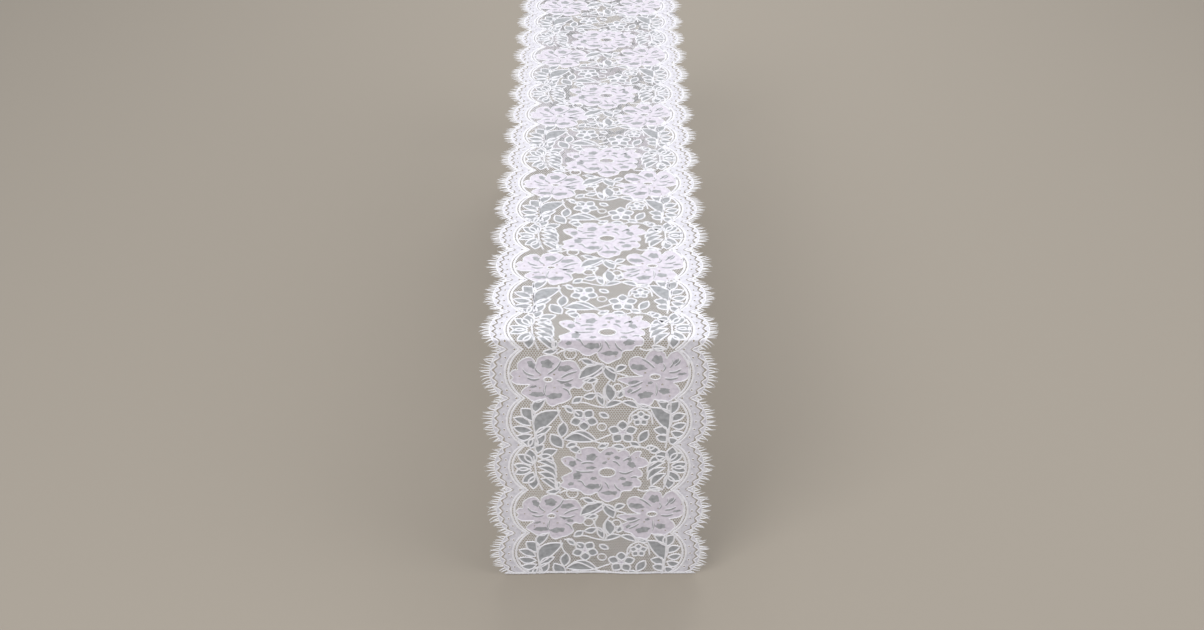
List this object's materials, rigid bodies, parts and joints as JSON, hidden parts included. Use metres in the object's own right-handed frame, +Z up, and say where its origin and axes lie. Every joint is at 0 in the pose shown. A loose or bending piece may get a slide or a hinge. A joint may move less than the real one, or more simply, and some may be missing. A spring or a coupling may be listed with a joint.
{
  "type": "table runner",
  "caption": "Lace table runner with rose and peony pattern, scalloped edges with eyelash fringe, and a drop at each end of the table",
  "frame": {"origin": "middle of the underside of the top panel, on the table top", "axes": "X across the runner, +Y along it away from the front drop, +Z up"},
  "size_m": [0.3556, 1.376, 0.4586],
  "materials": {
    "net": "fine hexagonal knitted net",
    "dense_cloth": "dense matt cloth stitch",
    "light_cloth": "half-density cloth stitch",
    "cord": "raised gimp cord, slight sheen",
    "fringe_thread": "loose cut threads, slight sheen",
    "hem_tape": "rolled lace, pressed flat",
    "sewing_thread": "polyester sewing thread"
  },
  "bodies": {
    "top_panel": {"top_net_ground": "net", "top_central_roses": "dense_cloth", "top_side_peonies": "dense_cloth", "top_scallop_rails": "cord", "top_fan_sprays": "light_cloth", "top_leaf_sprays": "light_cloth", "top_blossoms_and_buds": "light_cloth", "top_vines": "cord", "top_picot_bands": "light_cloth", "top_zigzag_cords": "cord", "top_eyelash_fringe": "fringe_thread", "top_outline_cord": "cord"},
    "front_drop": {"front_net_ground": "net", "front_central_roses": "dense_cloth", "front_side_peonies": "dense_cloth", "front_scallop_rails": "cord", "front_fan_sprays": "light_cloth", "front_leaf_sprays": "light_cloth", "front_blossoms_and_buds": "light_cloth", "front_vines": "cord", "front_picot_bands": "light_cloth", "front_zigzag_cords": "cord", "front_eyelash_fringe": "fringe_thread", "front_outline_cord": "cord", "front_end_hem": "hem_tape", "front_hem_stitching": "sewing_thread"},
    "rear_drop": {"rear_net_ground": "net", "rear_central_roses": "dense_cloth", "rear_side_peonies": "dense_cloth", "rear_scallop_rails": "cord", "rear_fan_sprays": "light_cloth", "rear_leaf_sprays": "light_cloth", "rear_blossoms_and_buds": "light_cloth", "rear_vines": "cord", "rear_picot_bands": "light_cloth", "rear_zigzag_cords": "cord", "rear_eyelash_fringe": "fringe_thread", "rear_outline_cord": "cord", "rear_end_hem": "hem_tape", "rear_hem_stitching": "sewing_thread"}
  },
  "joints": [
    {"name": "front_fold", "type": "hinge", "parent": "top_panel", "child": "front_drop", "pos_m": [0, -0.686, 0], "axis": [-1, 0, 0], "range_deg": [0, 90]},
    {"name": "rear_fold", "type": "hinge", "parent": "top_panel", "child": "rear_drop", "pos_m": [0, 0.686, 0], "axis": [1, 0, 0], "range_deg": [0, 90]}
  ]
}
